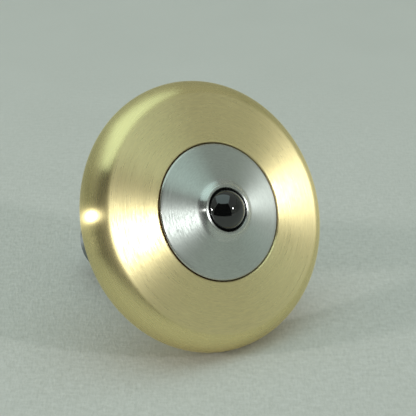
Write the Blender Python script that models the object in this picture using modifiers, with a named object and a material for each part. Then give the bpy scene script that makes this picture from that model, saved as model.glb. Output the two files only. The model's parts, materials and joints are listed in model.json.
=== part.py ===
"""Spinning top: brass flywheel, steel hub, black ceramic tip ball and steel handle stem.

Units are metres and +Z is up. The top lies at rest, on the rim of its flywheel and the end of its
stem, with its tip towards +X. The origin is on the floor, under the centre of the bounding box.

Every piece but the ball is turned: its outline is a list of (radius, height) points about the spin
axis. Height 0 is the plane of the rim's widest circle, and the tip side is positive.
"""

import math

import bmesh
import bpy
from mathutils import Vector

MM = 0.001

# Flywheel
WHEEL_RADIUS = 16.0 * MM
RIM_ROUND = 3.0 * MM
FACE_SLOPE = math.radians(8.0)
FACE_BLEND = 1.5 * MM
SEAM_RADIUS = 8.1 * MM
SEAM_HEIGHT = 3.6 * MM
SEAT_DEPTH = 2.1 * MM

# Hub: conical flange, boss with a ball pocket, shank and threaded end
CONE_SLOPE = math.radians(14.4)
BOSS_RADIUS = 3.9 * MM
FILLET_RADIUS = 1.6 * MM
FILLET_TURN = math.radians(40.0)
LIP_ROUND = 0.25 * MM
POCKET_EDGE = 0.12 * MM
DRILL_HALF_ANGLE = math.radians(59.0)
SHANK_RADIUS = 3.0 * MM
THREAD_RADIUS = 1.95 * MM
THREAD_LENGTH = 7.5 * MM

# Ball
BALL_RADIUS = 2.5 * MM
BALL_HEIGHT = 4.45 * MM

# Stem
SHOULDER_RADIUS = 6.0 * MM
SHOULDER_THICKNESS = 0.9 * MM
WAIST_RADIUS = 3.2 * MM
WAIST_FILLET = 2.4 * MM
WAIST_END = 8.5 * MM
KNOB_RADIUS = 4.3 * MM
KNOB_LENGTH = 1.8 * MM
STEM_END = 22.4 * MM
STEM_ROUND = 0.4 * MM

# Clearances and small edges
SEAM_GAP = 0.1 * MM
POCKET_GAP = 0.06 * MM
BORE_GAP = 0.1 * MM
FACE_GAP = 0.05 * MM
CHAMFER = 0.1 * MM

STEPS = 72
MERGE = 0.00001


def arc(centre, radius, start, end, pieces):
    """Points on a circle, from one angle to another. Angles are from the outward radius."""
    turns = [start + (end - start) * i / pieces for i in range(pieces + 1)]
    return [(centre[0] + radius * math.cos(a), centre[1] + radius * math.sin(a)) for a in turns]


def mirrored(points):
    """The same points on the stem side of the rim plane, in the order that carries on downwards."""
    return [(radius, -height) for radius, height in reversed(points)]


def face_height(radius):
    """Height of the flywheel's conical face."""
    return SEAM_HEIGHT - (radius - SEAM_RADIUS) * math.tan(FACE_SLOPE)


def face_blend():
    """Centre of the round between the conical face and the rim, and the angle where it meets the rim."""
    along = Vector((math.cos(FACE_SLOPE), -math.sin(FACE_SLOPE)))
    normal = Vector((math.sin(FACE_SLOPE), math.cos(FACE_SLOPE)))
    rim_centre = Vector((WHEEL_RADIUS - RIM_ROUND, 0))
    start = Vector((SEAM_RADIUS, SEAM_HEIGHT)) - normal * FACE_BLEND - rim_centre
    reach = RIM_ROUND - FACE_BLEND
    half = start.dot(along)
    travel = -half + math.sqrt(half**2 - start.length_squared + reach**2)
    offset = start + along * travel
    return rim_centre + offset, math.atan2(offset.y, offset.x)


def flywheel_outline():
    """Front face, rim, back face, bore and counterbore, as a closed loop."""
    blend_centre, blend_end = face_blend()
    rim_centre = (WHEEL_RADIUS - RIM_ROUND, 0)
    seat = SEAM_RADIUS + SEAM_GAP / 2
    bore = SHANK_RADIUS + BORE_GAP
    land = SHOULDER_RADIUS + 4 * CHAMFER
    back = -face_height(land)
    front = [(seat, face_height(seat) - CHAMFER), (seat + CHAMFER, face_height(seat + CHAMFER))]
    blend = arc(blend_centre, FACE_BLEND, math.pi / 2 - FACE_SLOPE, blend_end, 5)
    rim = arc(rim_centre, RIM_ROUND, blend_end, -blend_end, 18)[1:-1]
    hole = [(land, back), (bore + CHAMFER, back), (bore, back + CHAMFER)]
    floor = SEAM_HEIGHT - SEAT_DEPTH
    return front + blend + rim + mirrored(blend) + hole + [(bore, floor), (seat, floor)]


def hub_outline():
    """Pocket, lip, boss, conical flange, shank and threaded end, from the axis round to the axis."""
    pocket = BALL_RADIUS + POCKET_GAP
    apex = BALL_HEIGHT - pocket / math.sin(DRILL_HALF_ANGLE)
    edge = SEAM_RADIUS - SEAM_GAP / 2
    boss_height = SEAM_HEIGHT + (SEAM_RADIUS - BOSS_RADIUS) * math.tan(CONE_SLOPE)
    edge_height = SEAM_HEIGHT + (SEAM_RADIUS - edge + CHAMFER) * math.tan(CONE_SLOPE)

    fillet_start = -math.pi / 2 - CONE_SLOPE
    fillet_end = fillet_start - FILLET_TURN
    fillet_centre = (
        BOSS_RADIUS + FILLET_RADIUS * math.sin(CONE_SLOPE),
        boss_height + FILLET_RADIUS * math.cos(CONE_SLOPE),
    )
    fillet = arc(fillet_centre, FILLET_RADIUS, fillet_end, fillet_start, 7)

    lip_angle = math.pi / 2 - CONE_SLOPE - FILLET_TURN
    lip_centre = (
        fillet[0][0] - LIP_ROUND * math.cos(lip_angle),
        fillet[0][1] - LIP_ROUND * math.sin(lip_angle),
    )
    lip_height = lip_centre[1] + LIP_ROUND
    lip = arc(lip_centre, LIP_ROUND, math.pi / 2, lip_angle, 4)[:-1]
    inner_centre = (pocket + POCKET_EDGE, lip_height - POCKET_EDGE)
    inner = arc(inner_centre, POCKET_EDGE, math.pi, math.pi / 2, 3)

    under = SEAM_HEIGHT - SEAT_DEPTH + FACE_GAP
    step = -face_height(SHOULDER_RADIUS + 4 * CHAMFER) + CHAMFER
    foot = step - THREAD_LENGTH
    return (
        [(0, apex), (pocket, apex + pocket / math.tan(DRILL_HALF_ANGLE))]
        + inner + lip + fillet
        + [(edge - CHAMFER, edge_height), (edge, edge_height - CHAMFER), (edge, under)]
        + [(SHANK_RADIUS, under), (SHANK_RADIUS, step), (THREAD_RADIUS, step)]
        + [(THREAD_RADIUS, foot + CHAMFER), (THREAD_RADIUS - CHAMFER, foot), (0, foot)]
    )


def flare(pieces):
    """The stem's slow swelling from its waist to its knob."""
    knob_start = STEM_END - KNOB_LENGTH
    points = []
    for i in range(pieces + 1):
        share = i / pieces
        swell = (1 - math.cos(math.pi * share)) / 2
        radius = WAIST_RADIUS + (KNOB_RADIUS - WAIST_RADIUS) * swell
        points.append((radius, -WAIST_END - (knob_start - WAIST_END) * share))
    return points


def stem_outline():
    """Threaded bore, shoulder, waist, knob and flat end, from the axis round to the axis."""
    bore = THREAD_RADIUS + BORE_GAP
    top = -face_height(SHOULDER_RADIUS + 4 * CHAMFER) - FACE_GAP
    bottom = top - THREAD_LENGTH - 5 * CHAMFER
    collar = top - SHOULDER_THICKNESS
    waist_centre = (WAIST_RADIUS + WAIST_FILLET, collar - WAIST_FILLET)
    waist = arc(waist_centre, WAIST_FILLET, math.pi / 2, math.pi, 8)
    round_centre = (KNOB_RADIUS - STEM_ROUND, -STEM_END + STEM_ROUND)
    return (
        [(0, bottom), (bore, bottom), (bore, top - CHAMFER), (bore + CHAMFER, top)]
        + [(SHOULDER_RADIUS - CHAMFER, top), (SHOULDER_RADIUS, top - CHAMFER)]
        + [(SHOULDER_RADIUS, collar + CHAMFER), (SHOULDER_RADIUS - CHAMFER, collar)]
        + waist + flare(12)
        + arc(round_centre, STEM_ROUND, 0, -math.pi / 2, 5) + [(0, -STEM_END)]
    )


def rest_tilt():
    """Angle of the spin axis above the floor when the rim and the stem's end both touch it."""
    across = (WHEEL_RADIUS - RIM_ROUND) - (KNOB_RADIUS - STEM_ROUND)
    along = STEM_END - STEM_ROUND
    rise = RIM_ROUND - STEM_ROUND
    return math.atan2(across, along) + math.asin(rise / math.hypot(across, along))


def spin_axis(collection):
    """The empty that every piece hangs from: its Z axis is the spin axis, tilted to the rest pose."""
    tilt = rest_tilt()
    rim_centre_radius = WHEEL_RADIUS - RIM_ROUND
    front = rim_centre_radius * math.sin(tilt) + RIM_ROUND
    knob_round_radius = KNOB_RADIUS - STEM_ROUND
    back = (STEM_END - STEM_ROUND) * math.cos(tilt) + knob_round_radius * math.sin(tilt) + STEM_ROUND
    empty = bpy.data.objects.new("spin_axis", None)
    empty.rotation_mode = "ZYX"
    empty.rotation_euler = (0, math.pi / 2 - tilt, math.pi / STEPS)
    empty.location = ((back - front) / 2, 0, rim_centre_radius * math.cos(tilt) + RIM_ROUND)
    collection.objects.link(empty)
    return empty


def material(name, colour, roughness, metallic):
    made = bpy.data.materials.new(name)
    made.use_nodes = True
    shader = made.node_tree.nodes["Principled BSDF"]
    shader.inputs["Base Color"].default_value = (*colour, 1)
    shader.inputs["Roughness"].default_value = roughness
    shader.inputs["Metallic"].default_value = metallic
    return made


def turned(name, outline, closed, look, axis, collection):
    """A solid of revolution about the axis empty's Z."""
    mesh = bpy.data.meshes.new(name)
    count = len(outline)
    edges = [(i, i + 1) for i in range(count - 1)]
    if closed:
        edges.append((count - 1, 0))
    mesh.from_pydata([(radius, 0, height) for radius, height in outline], edges, [])
    mesh.materials.append(look)
    piece = bpy.data.objects.new(name, mesh)
    collection.objects.link(piece)
    piece.parent = axis
    screw = piece.modifiers.new("turn", "SCREW")
    screw.axis = "Z"
    screw.steps = STEPS
    screw.render_steps = STEPS
    screw.use_merge_vertices = True
    screw.merge_threshold = MERGE
    return piece


def ball(name, look, axis, collection):
    mesh = bpy.data.meshes.new(name)
    sphere = bmesh.new()
    bmesh.ops.create_uvsphere(sphere, u_segments=48, v_segments=24, radius=BALL_RADIUS)
    sphere.to_mesh(mesh)
    sphere.free()
    mesh.materials.append(look)
    piece = bpy.data.objects.new(name, mesh)
    collection.objects.link(piece)
    piece.parent = axis
    piece.location = (0, 0, BALL_HEIGHT)
    return piece


def main():
    for old in list(bpy.data.objects):
        bpy.data.objects.remove(old, do_unlink=True)

    top = bpy.data.collections.new("spinning_top")
    bpy.context.scene.collection.children.link(top)
    axis = spin_axis(top)

    brass = material("brass", (0.72, 0.62, 0.32), 0.32, 1.0)
    hub_steel = material("hub_steel", (0.56, 0.58, 0.57), 0.3, 1.0)
    stem_steel = material("stem_steel", (0.5, 0.52, 0.53), 0.28, 1.0)
    black = material("black_ceramic", (0.012, 0.013, 0.014), 0.06, 0.0)

    turned("flywheel", flywheel_outline(), True, brass, axis, top)
    turned("hub", hub_outline(), False, hub_steel, axis, top)
    turned("stem", stem_outline(), False, stem_steel, axis, top)
    ball("tip_ball", black, axis, top)


main()
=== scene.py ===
"""Looks of the spinning top: satin turned brass and steel, a polished black ball, a pale studio.

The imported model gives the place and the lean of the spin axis. Each turned piece is drawn again
with finer curves and softened edges, as an outline of (radius, height) points in millimetres about
that axis. Height 0 is the plane of the rim's widest circle, and the tip side is positive.
"""

import json
import math

import bmesh
import bpy
from mathutils import Matrix, Vector

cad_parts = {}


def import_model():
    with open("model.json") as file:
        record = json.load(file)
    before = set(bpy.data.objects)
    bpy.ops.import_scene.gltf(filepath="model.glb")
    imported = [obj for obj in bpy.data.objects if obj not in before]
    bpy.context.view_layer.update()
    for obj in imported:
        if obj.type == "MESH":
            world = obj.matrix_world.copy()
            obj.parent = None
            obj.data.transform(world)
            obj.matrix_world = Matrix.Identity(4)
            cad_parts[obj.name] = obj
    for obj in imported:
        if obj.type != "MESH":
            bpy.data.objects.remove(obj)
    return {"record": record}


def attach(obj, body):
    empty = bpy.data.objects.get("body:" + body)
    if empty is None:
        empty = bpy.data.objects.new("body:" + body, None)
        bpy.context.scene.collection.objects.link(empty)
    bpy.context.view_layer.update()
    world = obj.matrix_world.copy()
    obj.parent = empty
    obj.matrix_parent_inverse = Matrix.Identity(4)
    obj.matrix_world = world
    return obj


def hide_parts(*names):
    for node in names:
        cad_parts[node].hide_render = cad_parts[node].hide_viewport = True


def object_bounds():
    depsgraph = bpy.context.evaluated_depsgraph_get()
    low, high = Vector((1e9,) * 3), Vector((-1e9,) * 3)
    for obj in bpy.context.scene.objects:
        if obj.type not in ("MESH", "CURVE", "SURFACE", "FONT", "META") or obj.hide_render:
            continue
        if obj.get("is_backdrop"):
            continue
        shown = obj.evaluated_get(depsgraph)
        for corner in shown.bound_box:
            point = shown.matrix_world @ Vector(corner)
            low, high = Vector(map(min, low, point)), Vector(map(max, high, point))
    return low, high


MM = 0.001
SEGMENTS = 288

# Flywheel
WHEEL_RADIUS = 16.0
RIM_ROUND = 3.0
FACE_SLOPE = math.radians(8.0)
FACE_BLEND = 1.5
SEAM_RADIUS = 8.1
SEAM_HEIGHT = 3.6
SEAM_GAP = 0.03
SEAM_ROUND = 0.25
SEAM_CHAMFER = 0.22
SEAT_DEPTH = 2.1

# Hub
CONE_SLOPE = math.radians(14.4)
BOSS_RADIUS = 3.9
FILLET_RADIUS = 1.6
FILLET_TURN = math.radians(40.0)
LIP_ROUND = 0.25
POCKET_EDGE = 0.12
POCKET_RADIUS = 2.56
DRILL_HALF_ANGLE = math.radians(59.0)
SHANK_RADIUS = 3.0
THREAD_RADIUS = 1.95
THREAD_LENGTH = 7.5

# Ball
BALL_RADIUS = 2.5
BALL_HEIGHT = 4.45

# Stem
SHOULDER_RADIUS = 6.0
SHOULDER_THICKNESS = 0.9
WAIST_RADIUS = 3.2
WAIST_FILLET = 2.4
WAIST_END = 8.5
KNOB_RADIUS = 4.3
KNOB_LENGTH = 1.8
STEM_END = 22.4
STEM_ROUND = 0.4

# Edges and clearances
EDGE = 0.1
BORE_GAP = 0.1
FACE_GAP = 0.05

# Lathe marks: lines in each millimetre and streaks in a full turn, and depths in metres
GROOVES = (9.0, 12)
GRAIN = (7.5, 85)
GROOVE_DEPTH = 0.000013
STEM_GROOVE_DEPTH = 0.000008
MARKS_LEFT_BY_POLISH = 0.2

# What the marks add to the roughness, and how far and to what shade they dull the colour
SMOOTHER, ROUGHER = -0.055, 0.08
DULL_SHARE = 0.55
DULL_SHADE = 0.76

# Where the satin finish and the painted shade in the seam lie, in millimetres along an outline
SATIN_EDGE = 0.4
SATIN_PAST_FACE = 0.3
SATIN_SHIFT = 0.2
# Painted shade: from just past the seam chamfer, the hub's wall in the seam under the flywheel is
# coloured dark
SEAM_SHADE_START = 0.8 * SEAM_CHAMFER
SEAM_SHADE_END = 10.0
SEAM_SHADE_EDGE = 0.03
# Colour of the painted shade in the seam: dark brown, like brass reflected in a shaded crevice
SEAM_SHADE = (0.06, 0.03, 0.012)

# The values that most of a noise lies between, and most of the sum of two
NOISE_LOW, NOISE_HIGH = 0.3, 0.7
SUM_LOW, SUM_HIGH = 0.7, 1.3

# Floor and its weave: lengths in metres
FLOOR_FLAT = 0.55
FLOOR_SWEEP = 0.3
FLOOR_WALL = 0.25
THREADS = ((0.0003, 0.0011, 0.001), (0.001, 0.0006, 0.001))
THREAD_HEIGHT = 0.00006
NEAR, NEAR_CONTRAST = 0.025, 0.95
FAR, FAR_CONTRAST = 0.085, 0.075
WEAVE_SHARE = 0.8
CLOUD_SCALE = 70.0
CLOUD_LOW, CLOUD_HIGH = 0.4, 0.6
DARK_THREAD = (0.54, 0.538, 0.497)
PALE_THREAD = (0.775, 0.763, 0.733)

# Camera: bearings are in degrees from -Y, turning towards +X. It stands so many metres from the
# point it aims at, which is so many millimetres from the middle of the rim.
CAMERA_BEARING = 52.8
CAMERA_ELEVATION = 25.1
CAMERA_DISTANCE = 0.240
CAMERA_LENS = 177.6
AIM_RIGHT = 0.575
AIM_UP = 0.921

# Lamps: places in degrees right of the camera and above the floor, lengths in metres
LAMP_DISTANCE = 0.6
LAMP_SIZE = (0.05, 0.05)
LEFT_LAMP = (-69, 14.5)
LEFT_RADIANCE = 165
RIGHT_LAMP = (59, 25.6)
RIGHT_RADIANCE = 94
WINDOW_DISTANCE = 0.7
WINDOW_SIZE = (0.79, 0.776)
WINDOW_RADIANCE = 0.82
WINDOW_LEFT = 0.066
WINDOW_BACK = 0.023
SURROUND = (0.34, 0.37, 0.342)

# The unlit side of the room: degrees right of the camera, and metres
DARK_START = -52
DARK_END = 43
DARK_TOP = 60
DARK_RADIUS = 0.55
DARK_FOOT = (0.16, 0.001)


# ---------------------------------------------------------------- outlines

def arc(centre, radius, start, end, pieces):
    """Points on a circle, from one angle to another. Angles are from the outward radius."""
    turns = [start + (end - start) * i / pieces for i in range(pieces + 1)]
    return [(centre[0] + radius * math.cos(a), centre[1] + radius * math.sin(a)) for a in turns]


def softened(corners, pieces=4):
    """The outline with each corner that has a third number rounded to that radius."""
    points = []
    for i, corner in enumerate(corners):
        if len(corner) == 2:
            points.append(corner)
            continue
        here = Vector(corner[:2])
        before = (Vector(corners[i - 1][:2]) - here).normalized()
        after = (Vector(corners[(i + 1) % len(corners)][:2]) - here).normalized()
        half = before.angle(after) / 2
        reach = corner[2] / math.tan(half)
        middle = here + (before + after).normalized() * (corner[2] / math.sin(half))
        first, last = here + before * reach - middle, here + after * reach - middle
        for k in range(pieces + 1):
            spoke = first.lerp(last, k / pieces).normalized() * corner[2]
            points.append(tuple(middle + spoke))
    return points


def face_height(radius):
    """Height of the flywheel's conical face."""
    return SEAM_HEIGHT - (radius - SEAM_RADIUS) * math.tan(FACE_SLOPE)


def face_blend():
    """Centre of the round between the conical face and the rim, and the angle where it ends."""
    along = Vector((math.cos(FACE_SLOPE), -math.sin(FACE_SLOPE)))
    normal = Vector((math.sin(FACE_SLOPE), math.cos(FACE_SLOPE)))
    rim_centre = Vector((WHEEL_RADIUS - RIM_ROUND, 0))
    start = Vector((SEAM_RADIUS, SEAM_HEIGHT)) - normal * FACE_BLEND - rim_centre
    reach = RIM_ROUND - FACE_BLEND
    half = start.dot(along)
    travel = -half + math.sqrt(half**2 - start.length_squared + reach**2)
    offset = start + along * travel
    return rim_centre + offset, math.atan2(offset.y, offset.x)


def length(points):
    """The way along a chain of points."""
    return sum(math.dist(here, there) for here, there in zip(points, points[1:]))


def flywheel_outline():
    """Front face, rim, back face, bore and counterbore, as a closed loop, and the places along it
    where the satin face starts and ends."""
    blend_centre, blend_end = face_blend()
    seat = SEAM_RADIUS + SEAM_GAP / 2
    bore = SHANK_RADIUS + BORE_GAP
    land = SHOULDER_RADIUS + 4 * EDGE
    back = -face_height(land)
    blend = arc(blend_centre, FACE_BLEND, math.pi / 2 - FACE_SLOPE, blend_end, 12)
    rim = arc((WHEEL_RADIUS - RIM_ROUND, 0), RIM_ROUND, blend_end, -blend_end, 64)[1:-1]
    behind = [(radius, -height) for radius, height in reversed(blend)]
    floor = SEAM_HEIGHT - SEAT_DEPTH
    corners = [(seat, face_height(seat), SEAM_ROUND)] + blend + rim + behind
    corners += [(land, back), (bore, back, EDGE), (bore, floor), (seat, floor)]
    face_end = math.dist((seat, face_height(seat)), blend[0])
    return softened(corners), (-SATIN_EDGE, face_end + SATIN_PAST_FACE)


def hub_outline():
    """Pocket, lip, boss, conical flange, shank and threaded end, from the axis round to the axis,
    and the places along it where the satin cone starts and ends and the painted shade in the seam
    starts."""
    apex = BALL_HEIGHT - POCKET_RADIUS / math.sin(DRILL_HALF_ANGLE)
    edge = SEAM_RADIUS - SEAM_GAP / 2
    rise = math.tan(CONE_SLOPE)
    boss_height = SEAM_HEIGHT + (SEAM_RADIUS - BOSS_RADIUS) * rise
    edge_height = SEAM_HEIGHT + (SEAM_RADIUS - edge) * rise

    fillet_start = -math.pi / 2 - CONE_SLOPE
    fillet_centre = (
        BOSS_RADIUS + FILLET_RADIUS * math.sin(CONE_SLOPE),
        boss_height + FILLET_RADIUS * math.cos(CONE_SLOPE),
    )
    fillet = arc(fillet_centre, FILLET_RADIUS, fillet_start - FILLET_TURN, fillet_start, 24)

    lip_angle = math.pi / 2 - CONE_SLOPE - FILLET_TURN
    lip_centre = (
        fillet[0][0] - LIP_ROUND * math.cos(lip_angle),
        fillet[0][1] - LIP_ROUND * math.sin(lip_angle),
    )
    lip = arc(lip_centre, LIP_ROUND, math.pi / 2, lip_angle, 10)[:-1]
    inner_centre = (POCKET_RADIUS + POCKET_EDGE, lip_centre[1] + LIP_ROUND - POCKET_EDGE)
    inner = arc(inner_centre, POCKET_EDGE, math.pi, math.pi / 2, 6)

    under = SEAM_HEIGHT - SEAT_DEPTH + FACE_GAP
    step = -face_height(SHOULDER_RADIUS + 4 * EDGE) + EDGE
    foot = step - THREAD_LENGTH
    corners = [(0, apex), (POCKET_RADIUS, apex + POCKET_RADIUS / math.tan(DRILL_HALF_ANGLE))]
    corners += inner + lip + fillet
    cone_start = length(corners)
    cone_end = cone_start + math.dist(fillet[-1], (edge - SEAM_CHAMFER, edge_height))
    corners += [(edge - SEAM_CHAMFER, edge_height + SEAM_CHAMFER * rise, SEAM_CHAMFER / 5)]
    corners += [(edge, edge_height - SEAM_CHAMFER, SEAM_CHAMFER / 5)]
    corners += [(edge, under), (SHANK_RADIUS, under), (SHANK_RADIUS, step), (THREAD_RADIUS, step)]
    corners += [(THREAD_RADIUS, foot, EDGE), (0, foot)]
    # The third place is where the painted shade in the seam starts.
    places = (cone_start - SATIN_SHIFT, cone_end - SATIN_SHIFT, cone_end + SEAM_SHADE_START)
    return softened(corners), places


def ball_outline():
    return arc((0, BALL_HEIGHT), BALL_RADIUS, math.pi / 2, -math.pi / 2, 96)


def flare(pieces):
    """The stem's slow swelling from its waist to its knob."""
    knob_start = STEM_END - KNOB_LENGTH
    points = []
    for i in range(pieces + 1):
        share = i / pieces
        swell = (1 - math.cos(math.pi * share)) / 2
        radius = WAIST_RADIUS + (KNOB_RADIUS - WAIST_RADIUS) * swell
        points.append((radius, -WAIST_END - (knob_start - WAIST_END) * share))
    return points


def stem_outline():
    """Threaded bore, shoulder, waist, knob and flat end, from the axis round to the axis."""
    bore = THREAD_RADIUS + BORE_GAP
    top = -face_height(SHOULDER_RADIUS + 4 * EDGE) - FACE_GAP
    bottom = top - THREAD_LENGTH - 5 * EDGE
    collar = top - SHOULDER_THICKNESS
    waist_centre = (WAIST_RADIUS + WAIST_FILLET, collar - WAIST_FILLET)
    corners = [(0, bottom), (bore, bottom), (bore, top, EDGE)]
    corners += [(SHOULDER_RADIUS, top, EDGE), (SHOULDER_RADIUS, collar, EDGE)]
    corners += arc(waist_centre, WAIST_FILLET, math.pi / 2, math.pi, 24) + flare(40)
    corners += [(KNOB_RADIUS, -STEM_END, STEM_ROUND), (0, -STEM_END)]
    return softened(corners, 8)


# ---------------------------------------------------------------- meshes

def axis_matrix(record):
    """Turns axis coordinates in millimetres into the row frame: Z is the spin axis, towards the tip."""
    face = next(m for m in record["mounts"] if m["name"] == "stem_end_face")
    towards_tip = -Vector(face["axis"]).normalized()
    rim_centre = Vector(face["pos_m"]) + towards_tip * STEM_END * MM
    turn = Vector((0, 0, 1)).rotation_difference(towards_tip).to_matrix().to_4x4()
    return Matrix.Translation(rim_centre) @ turn @ Matrix.Scale(MM, 4)


def turned(name, outline, closed, placing, look):
    """A solid of revolution. Its UV map 'turned' holds the way along the outline, in millimetres,
    and the share of a full turn."""
    mesh_maker = bmesh.new()
    uv = mesh_maker.loops.layers.uv.new("turned")
    rings, way = [], [0.0]
    for i, (radius, height) in enumerate(outline):
        if i:
            way.append(way[-1] + math.dist(outline[i - 1], outline[i]))
        spokes = SEGMENTS if radius > 0 else 1
        angles = [2 * math.pi * k / SEGMENTS for k in range(spokes)]
        spots = [Vector((radius * math.cos(a), radius * math.sin(a), height)) for a in angles]
        rings.append([mesh_maker.verts.new(placing @ spot) for spot in spots])
    bands = [(i, i + 1) for i in range(len(outline) - 1)]
    if closed:
        bands.append((len(outline) - 1, 0))
        way.append(way[-1] + math.dist(outline[-1], outline[0]))
    for upper, lower in bands:
        way_upper, way_lower = way[upper], way[upper + 1]
        for k in range(SEGMENTS):
            corners = [
                (rings[upper], k, way_upper), (rings[lower], k, way_lower),
                (rings[lower], k + 1, way_lower), (rings[upper], k + 1, way_upper),
            ]
            if len(rings[upper]) == 1:
                corners.pop(3)
            if len(rings[lower]) == 1:
                corners.pop(1)
            face = mesh_maker.faces.new([ring[at % len(ring)] for ring, at, _ in corners])
            for loop, (_, at, along) in zip(face.loops, corners):
                loop[uv].uv = (along, at / SEGMENTS)
    mesh = bpy.data.meshes.new(name)
    mesh_maker.to_mesh(mesh)
    mesh_maker.free()
    mesh.polygons.foreach_set("use_smooth", [True] * len(mesh.polygons))
    mesh.set_sharp_from_angle(angle=math.radians(35))
    mesh.materials.append(look)
    piece = bpy.data.objects.new(name, mesh)
    bpy.context.scene.collection.objects.link(piece)
    return piece


# ---------------------------------------------------------------- materials

class Nodes:
    """A short way to write a material's node tree."""

    def __init__(self, name):
        self.material = bpy.data.materials.new(name)
        self.material.use_nodes = True
        self.tree = self.material.node_tree
        self.shader = self.tree.nodes["Principled BSDF"]

    def add(self, kind, **settings):
        node = self.tree.nodes.new(kind)
        for key, value in settings.items():
            setattr(node, key, value)
        return node

    def link(self, source, target):
        self.tree.links.new(source, target)

    def math(self, operation, first, second=0.0):
        node = self.add("ShaderNodeMath", operation=operation)
        for socket, value in zip(node.inputs, (first, second)):
            if isinstance(value, (int, float)):
                socket.default_value = value
            else:
                self.link(value, socket)
        return node.outputs[0]

    def span(self, value, low, high, start=0.0, end=1.0, kind="LINEAR"):
        """Maps start..end to low..high."""
        node = self.add("ShaderNodeMapRange", interpolation_type=kind)
        self.link(value, node.inputs["Value"])
        node.inputs["From Min"].default_value = start
        node.inputs["From Max"].default_value = end
        node.inputs["To Min"].default_value = low
        node.inputs["To Max"].default_value = high
        return node.outputs["Result"]

    def mix(self, factor, first, second):
        """A colour between two others, each given as three numbers or as a node's output."""
        node = self.add("ShaderNodeMix", data_type="RGBA")
        self.link(factor, node.inputs["Factor"])
        for name, colour in (("A", first), ("B", second)):
            socket = next(i for i in node.inputs if i.name == name and i.type == "RGBA")
            if isinstance(colour, bpy.types.NodeSocket):
                self.link(colour, socket)
            else:
                socket.default_value = (*colour, 1)
        return next(o for o in node.outputs if o.type == "RGBA")

    def outline_place(self):
        """Millimetres along the outline, and share of a turn."""
        uv = self.add("ShaderNodeUVMap", uv_map="turned")
        parts = self.add("ShaderNodeSeparateXYZ")
        self.link(uv.outputs["UV"], parts.inputs[0])
        return parts.outputs["X"], parts.outputs["Y"]

    def stretch(self, start, end, fade):
        """1 between two places along the outline, and 0 beyond, with soft ends."""
        along = self.outline_place()[0]
        rise = self.span(along, 0, 1, start - fade / 2, start + fade / 2, "SMOOTHSTEP")
        fall = self.span(along, 1, 0, end - fade / 2, end + fade / 2, "SMOOTHSTEP")
        return self.math("MULTIPLY", rise, fall)

    def turning_marks(self, lines_per_mm, streaks_per_turn):
        """Noise stretched along the circles that a lathe tool leaves, with no seam."""
        along, turn = self.outline_place()
        angle = self.math("MULTIPLY", turn, 2 * math.pi)
        reach = streaks_per_turn / (2 * math.pi)
        place = self.add("ShaderNodeCombineXYZ")
        self.link(self.math("MULTIPLY", self.math("COSINE", angle), reach), place.inputs["X"])
        self.link(self.math("MULTIPLY", self.math("SINE", angle), reach), place.inputs["Y"])
        self.link(self.math("MULTIPLY", along, lines_per_mm), place.inputs["Z"])
        return self.noise(place.outputs[0])

    def noise(self, place, scale=1.0, detail=2.0):
        """Soft random values, from 0 to 1."""
        node = self.add("ShaderNodeTexNoise")
        self.link(place, node.inputs["Vector"])
        node.inputs["Scale"].default_value = scale
        node.inputs["Detail"].default_value = detail
        return node.outputs["Fac"]

    def bump(self, height, distance):
        node = self.add("ShaderNodeBump")
        node.inputs["Strength"].default_value = 1.0
        node.inputs["Distance"].default_value = distance
        self.link(height, node.inputs["Height"])
        return node.outputs["Normal"]


def turned_metal(name, satin, polished, satin_roughness, polished_roughness, places, groove_depth):
    """Metal off the lathe. Between the first two places along the outline it is satin, where fine
    circular grooves spread light across them. The rest is polished, with a colour of its own. Past
    the third place, if there is one, the metal is painted dark brown: painted shade in the seam."""
    nodes = Nodes(name)
    shader = nodes.shader
    shader.inputs["Metallic"].default_value = 1.0
    shader.inputs["Anisotropic"].default_value = 1.0
    grooves = nodes.turning_marks(*GROOVES)
    grain = nodes.turning_marks(*GRAIN)
    share = nodes.stretch(*places[:2], SATIN_EDGE)
    coarseness = nodes.span(share, MARKS_LEFT_BY_POLISH, 1.0)

    dulling = nodes.span(grain, 0.0, DULL_SHARE, NOISE_LOW, NOISE_HIGH)
    dulling = nodes.math("MULTIPLY", dulling, coarseness)
    base = nodes.mix(share, polished, satin)
    base = nodes.mix(dulling, base, [channel * DULL_SHADE for channel in satin])
    # Painted shade: dark brown colour on the metal past the third place, in the seam under the
    # flywheel.
    if len(places) > 2:
        seam_shaded = nodes.stretch(places[2], places[2] + SEAM_SHADE_END, SEAM_SHADE_EDGE)
        base = nodes.mix(seam_shaded, base, SEAM_SHADE)
    nodes.link(base, shader.inputs["Base Color"])

    wanted = nodes.span(share, polished_roughness, satin_roughness)
    marks = nodes.math("ADD", grooves, grain)
    uneven = nodes.span(marks, SMOOTHER, ROUGHER, SUM_LOW, SUM_HIGH)
    uneven = nodes.math("MULTIPLY", uneven, coarseness)
    nodes.link(nodes.math("ADD", wanted, uneven), shader.inputs["Roughness"])

    tangent = nodes.add("ShaderNodeTangent", direction_type="UV_MAP", uv_map="turned")
    nodes.link(tangent.outputs["Tangent"], shader.inputs["Tangent"])
    height = nodes.math("MULTIPLY", grooves, coarseness)
    nodes.link(nodes.bump(height, groove_depth), shader.inputs["Normal"])
    return nodes.material


def brass(places):
    satin, polished = (0.985, 0.845, 0.45), (0.865, 0.735, 0.36)
    return turned_metal("brass", satin, polished, 0.315, 0.275, places, GROOVE_DEPTH)


def hub_steel(places):
    satin, polished = (0.6, 0.643, 0.603), (0.57, 0.59, 0.56)
    return turned_metal("hub_steel", satin, polished, 0.35, 0.27, places, GROOVE_DEPTH)


def stem_steel(places):
    """Darker than the hub's steel, and finely turned all over."""
    colour, roughness = (0.4, 0.44, 0.46), 0.8
    return turned_metal("stem_steel", colour, colour, roughness, roughness, places, STEM_GROOVE_DEPTH)


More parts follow.
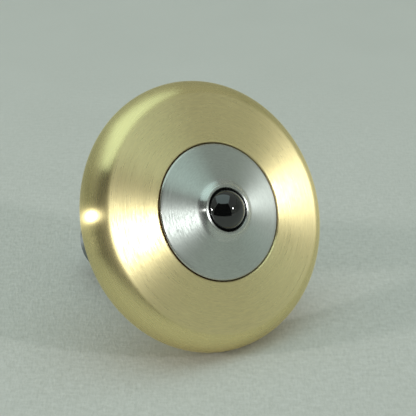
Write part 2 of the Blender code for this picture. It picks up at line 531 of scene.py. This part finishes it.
def black_ceramic():
    """Polished silicon-nitride black, with the faintest unevenness in its polish."""
    nodes = Nodes("black_ceramic")
    shader = nodes.shader
    shader.inputs["Base Color"].default_value = (0.002, 0.002, 0.002, 1)
    shader.inputs["IOR"].default_value = 1.78
    place = nodes.add("ShaderNodeTexCoord")
    haze = nodes.noise(place.outputs["Object"], scale=900.0, detail=4.0)
    nodes.link(nodes.span(haze, 0.02, 0.08), shader.inputs["Roughness"])
    return nodes.material


def floor_paper():
    """Matt pale grey-green backing, with soft clouds and a weave that is clearest near the object."""
    nodes = Nodes("floor_paper")
    shader = nodes.shader
    shader.inputs["Roughness"].default_value = 0.9
    shader.inputs["Specular IOR Level"].default_value = 0.2
    place = nodes.add("ShaderNodeTexCoord").outputs["Object"]
    threads = []
    for thread in THREADS:
        mapping = nodes.add("ShaderNodeMapping", vector_type="TEXTURE")
        mapping.inputs["Rotation"].default_value = (0, 0, math.radians(CAMERA_BEARING))
        mapping.inputs["Scale"].default_value = thread
        nodes.link(place, mapping.inputs["Vector"])
        threads.append(nodes.noise(mapping.outputs["Vector"]))
    away = nodes.add("ShaderNodeVectorMath", operation="LENGTH")
    nodes.link(place, away.inputs[0])
    contrast = nodes.span(away.outputs["Value"], NEAR_CONTRAST, FAR_CONTRAST, NEAR, FAR)
    weave = nodes.math("SUBTRACT", nodes.math("ADD", *threads), 1.0)
    weave = nodes.math("MULTIPLY", weave, contrast)
    clouds = nodes.span(nodes.noise(place, CLOUD_SCALE), CLOUD_LOW, CLOUD_HIGH)
    paleness = nodes.math("ADD", nodes.math("MULTIPLY", weave, WEAVE_SHARE), clouds)
    nodes.link(nodes.mix(paleness, DARK_THREAD, PALE_THREAD), shader.inputs["Base Color"])
    nodes.link(nodes.bump(weave, THREAD_HEIGHT), shader.inputs["Normal"])
    return nodes.material


# ---------------------------------------------------------------- studio

def bearing(right, elevation):
    """Direction from the object: degrees right of the camera's bearing, and degrees above the floor."""
    turn = math.radians(CAMERA_BEARING + right)
    rise = math.radians(elevation)
    return Vector((math.sin(turn) * math.cos(rise), -math.cos(turn) * math.cos(rise), math.sin(rise)))


def add_camera(target):
    """Looks at the flywheel from the tip side, a little above."""
    back = bearing(0, CAMERA_ELEVATION)
    right = Vector((0, 0, 1)).cross(back).normalized()
    up = back.cross(right)
    camera = bpy.data.objects.new("camera", bpy.data.cameras.new("camera"))
    camera.data.lens = CAMERA_LENS
    camera.data.sensor_width = 36.0
    camera.data.clip_start = 0.01
    aim = target + (right * AIM_RIGHT + up * AIM_UP) * MM
    placing = Matrix((right, up, back)).transposed().to_4x4()
    placing.translation = aim + back * CAMERA_DISTANCE
    camera.matrix_world = placing
    bpy.context.scene.collection.objects.link(camera)
    bpy.context.scene.camera = camera


def add_lamp(name, target, direction, distance, size, radiance, colour, shape="DISK"):
    """A soft lamp facing the object, with its first size across the camera's view. Radiance is what
    its surface looks like in a mirror."""
    light = bpy.data.lights.new(name, "AREA")
    light.shape = shape
    light.size, light.size_y = size
    area = size[0] * size[1] * (math.pi / 4 if shape == "DISK" else 1)
    light.energy = radiance * math.pi * area
    light.color = colour
    lamp = bpy.data.objects.new(name, light)
    depth = direction.cross(bearing(90, 0)).normalized()
    lamp.matrix_world = Matrix((depth.cross(direction), depth, direction)).transposed().to_4x4()
    lamp.location = target + direction * distance
    lamp.visible_camera = False
    bpy.context.scene.collection.objects.link(lamp)


def swept(name, outline, start, end, spokes, look):
    """A sheet swept round the vertical through the origin, from (reach, height) points in metres,
    between two bearings in degrees right of the camera."""
    mesh_maker = bmesh.new()
    rows = []
    for i in range(spokes + 1):
        way = bearing(start + (end - start) * i / spokes, 0)
        spots = [way * reach + Vector((0, 0, height)) for reach, height in outline]
        rows.append([mesh_maker.verts.new(spot) for spot in spots])
    for row, following in zip(rows, rows[1:]):
        for k in range(len(outline) - 1):
            mesh_maker.faces.new((row[k], following[k], following[k + 1], row[k + 1]))
    bmesh.ops.remove_doubles(mesh_maker, verts=mesh_maker.verts, dist=0.00001)
    mesh = bpy.data.meshes.new(name)
    mesh_maker.to_mesh(mesh)
    mesh_maker.free()
    mesh.polygons.foreach_set("use_smooth", [True] * len(mesh.polygons))
    mesh.materials.append(look)
    sheet = bpy.data.objects.new(name, mesh)
    bpy.context.scene.collection.objects.link(sheet)
    sheet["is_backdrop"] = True
    return sheet


def add_floor():
    """A floor that sweeps up all round into a wall, so that every side has the same plain ground."""
    outline = [(0.0, 0.0)]
    outline += arc((FLOOR_FLAT, FLOOR_SWEEP), FLOOR_SWEEP, -math.pi / 2, 0, 24)
    outline.append((FLOOR_FLAT + FLOOR_SWEEP, FLOOR_SWEEP + FLOOR_WALL))
    swept("floor", outline, 0, 360, 96, floor_paper())


def add_dark_side():
    """The unlit side of the room, under and behind the camera. It shows only in reflections."""
    nodes = Nodes("dark_side")
    nodes.shader.inputs["Base Color"].default_value = (0.05, 0.05, 0.05, 1)
    nodes.shader.inputs["Specular IOR Level"].default_value = 0.0
    outline = [DARK_FOOT] + arc((0, DARK_FOOT[1]), DARK_RADIUS, 0, math.radians(DARK_TOP), 24)
    sheet = swept("dark_side", outline, DARK_START, DARK_END, 48, nodes.material)
    sheet.visible_camera = False
    sheet.visible_diffuse = False
    sheet.visible_shadow = False


def add_lamps(target):
    """Two small lamps, one on each side, and a large window overhead."""
    left, right = bearing(*LEFT_LAMP), bearing(*RIGHT_LAMP)
    overhead = Vector((0, 0, 1)) - bearing(90, 0) * WINDOW_LEFT - bearing(0, 0) * WINDOW_BACK
    overhead.normalize()
    add_lamp("left_lamp", target, left, LAMP_DISTANCE, LAMP_SIZE, LEFT_RADIANCE, (1, 1, 0.98))
    add_lamp("right_lamp", target, right, LAMP_DISTANCE, LAMP_SIZE, RIGHT_RADIANCE, (0.98, 1, 1))
    add_lamp(
        "window", target, overhead, WINDOW_DISTANCE, WINDOW_SIZE, WINDOW_RADIANCE,
        (0.73, 1, 0.98), "RECTANGLE",
    )


def add_surround():
    """Even grey-green light from all round."""
    world = bpy.data.worlds.new("studio")
    world.use_nodes = True
    world.node_tree.nodes["Background"].inputs["Color"].default_value = (*SURROUND, 1)
    bpy.context.scene.world = world


def add_studio(target):
    add_floor()
    add_dark_side()
    add_lamps(target)
    add_surround()
    bpy.context.scene.view_settings.view_transform = "Standard"


# ---------------------------------------------------------------- the top

def main():
    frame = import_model()
    cad_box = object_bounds()
    placing = axis_matrix(frame["record"])
    rim_centre = placing.translation.copy()

    flywheel, face = flywheel_outline()
    hub, cone = hub_outline()
    stem = stem_outline()
    pieces = [
        ("flywheel", flywheel, True, brass(face), "brass"),
        ("hub", hub, False, hub_steel(cone), "hub_steel"),
        ("tip_ball", ball_outline(), False, black_ceramic(), "black_ceramic"),
        ("stem", stem, False, stem_steel((0, length(stem))), "stem_steel"),
    ]
    for node, outline, closed, look, slot in pieces:
        piece = turned(node + "_turned", outline, closed, placing, look)
        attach(piece, "root")
        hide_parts(node)

    add_camera(rim_centre)
    add_studio(rim_centre)
    return cad_box


def corners(box):
    return [[float(number) for number in corner] for corner in box]


cad_box = main()
